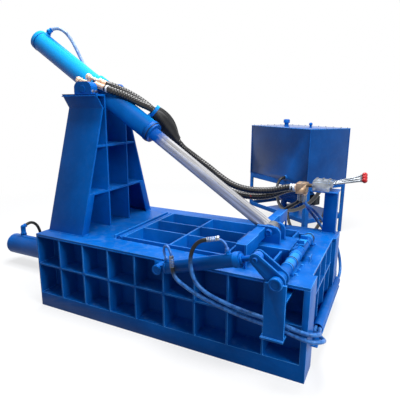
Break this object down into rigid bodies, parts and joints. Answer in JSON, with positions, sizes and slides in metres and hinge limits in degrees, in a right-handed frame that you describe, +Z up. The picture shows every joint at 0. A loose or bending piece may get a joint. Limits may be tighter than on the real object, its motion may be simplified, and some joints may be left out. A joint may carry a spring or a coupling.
{
  "type": "hydraulic scrap metal baler",
  "caption": "Ribbed press box with a hinged lid worked from a tower, a horizontal ram, a bale turn-out arm and a hose-fed power unit.",
  "frame": {"origin": "centre of the press box at floor level", "axes": "+X along the box from the ram cylinder to the turn-out shaft, +Y from the operator's side to the power unit, +Z up"},
  "size_m": [3.5711, 4.3163, 2.4177],
  "materials": {
    "blue_paint": "glossy enamel over welded plate",
    "bare_steel": "turned and cut steel",
    "chromed_rod": "hard chrome plating, ground",
    "cast_pump": "dark cast surface",
    "brass_fitting": "yellow plated fittings",
    "black_rubber": "ribbed black guard and smooth cover",
    "sleeved_rubber": "smooth hose cover with paint overspray"
  },
  "bodies": {
    "press": {"side_wall_near": "blue_paint", "side_wall_far": "blue_paint", "outboard_post": "blue_paint", "chamber_bed": "blue_paint", "end_wall_left": "blue_paint", "end_wall_right": "blue_paint", "deck_plate": "blue_paint", "hopper_back_wall": "blue_paint", "tower": "blue_paint", "trunnion_blocks": "blue_paint", "deck_hinge_knuckles": "blue_paint", "shaft_bearings": "blue_paint", "turnout_rear_bracket": "blue_paint", "hose_conduit": "blue_paint", "valve_stand": "blue_paint", "ram_barrel": "blue_paint", "oil_tank": "blue_paint", "tank_stand": "blue_paint", "electric_motor": "blue_paint", "lid_hinge_pin": "blue_paint", "tank_caps": "blue_paint", "ram_flange_bolts": "bare_steel", "hose_elbow_rear": "bare_steel", "control_valve": "bare_steel", "hydraulic_pump": "cast_pump", "port_block": "brass_fitting", "lid_hose_near_loop": "black_rubber", "lid_hose_far_loop": "black_rubber", "ram_hose": "black_rubber", "pressure_hose": "black_rubber", "return_hose": "black_rubber", "turnout_hose_rear": "sleeved_rubber", "turnout_hose_front": "sleeved_rubber"},
    "lid_barrel": {"lid_barrel": "blue_paint", "lid_gland": "bare_steel", "lid_unions": "brass_fitting", "lid_hose_near": "black_rubber", "lid_hose_far": "black_rubber", "lid_hose_sleeve": "black_rubber", "lid_cap_hose": "black_rubber"},
    "lid_rod": {"lid_rod": "chromed_rod", "lid_rod_eye": "bare_steel"},
    "lid": {"lid_frame": "blue_paint", "clevis_ears": "blue_paint", "stop_beams": "blue_paint", "clevis_pin_heads": "blue_paint"},
    "ram": {"ram_rod": "chromed_rod", "press_head": "blue_paint"},
    "turnout": {"turnout_shaft": "blue_paint", "turnout_lever": "blue_paint", "lever_pin_heads": "blue_paint", "turnout_tray": "blue_paint"},
    "turnout_barrel": {"turnout_barrel": "blue_paint", "turnout_gland": "bare_steel", "hose_elbow_front": "bare_steel"},
    "turnout_rod": {"turnout_rod": "chromed_rod"},
    "lever_1": {"valve_lever_1": "bare_steel"},
    "lever_2": {"valve_lever_2": "bare_steel"},
    "lever_3": {"valve_lever_3": "bare_steel"}
  },
  "joints": [
    {"name": "lid_hinge", "type": "hinge", "parent": "press", "child": "lid", "pos_m": [-0.433, 0, 0.65], "axis": [0, -1, 0], "range_deg": [0, 62]},
    {"name": "lid_cylinder_swing", "type": "hinge", "parent": "press", "child": "lid_barrel", "pos_m": [-0.895, 0, 1.846], "axis": [0, -1, 0], "range_deg": [0, 25.57]},
    {"name": "lid_rod_slide", "type": "slide", "parent": "lid_barrel", "child": "lid_rod", "axis": [0.8348, 0, -0.5506], "range_m": [-1.03774, 0]},
    {"name": "ram_slide", "type": "slide", "parent": "press", "child": "ram", "axis": [1, 0, 0], "range_m": [0, 0.99]},
    {"name": "turnout_turn", "type": "hinge", "parent": "press", "child": "turnout", "pos_m": [0.965, 0, 0.7], "axis": [0, 1, 0], "range_deg": [0, 93.01]},
    {"name": "turnout_cylinder_swing", "type": "hinge", "parent": "press", "child": "turnout_barrel", "pos_m": [0.117, -0.677, 0.606], "axis": [0, 1, 0], "range_deg": [0, 3.24]},
    {"name": "turnout_rod_slide", "type": "slide", "parent": "turnout_barrel", "child": "turnout_rod", "axis": [0.9591, 0, 0.2831], "range_m": [0, 0.25875]},
    {"name": "lever_1_tip", "type": "hinge", "parent": "press", "child": "lever_1", "pos_m": [1.055, 0.566, 1.076], "axis": [0, 1, 0], "range_deg": [-15, 15], "stiffness_Nm_per_rad": 40, "springref_deg": -1.23},
    {"name": "lever_2_tip", "type": "hinge", "parent": "press", "child": "lever_2", "pos_m": [1.055, 0.612, 1.076], "axis": [0, 1, 0], "range_deg": [-15, 15], "stiffness_Nm_per_rad": 40, "springref_deg": -1.23},
    {"name": "lever_3_tip", "type": "hinge", "parent": "press", "child": "lever_3", "pos_m": [1.055, 0.658, 1.076], "axis": [0, 1, 0], "range_deg": [-15, 15], "stiffness_Nm_per_rad": 40, "springref_deg": -1.23}
  ],
  "couplings": [
    {"joint": "lid_cylinder_swing", "follows": "lid_hinge", "ratio": 0.41233},
    {"joint": "lid_rod_slide", "follows": "lid_hinge", "m_per_rad": -0.95863},
    {"joint": "turnout_turn", "follows": "lid_hinge", "ratio": 1.5},
    {"joint": "turnout_cylinder_swing", "follows": "lid_hinge", "ratio": 0.052147},
    {"joint": "turnout_rod_slide", "follows": "lid_hinge", "m_per_rad": 0.23875}
  ]
}
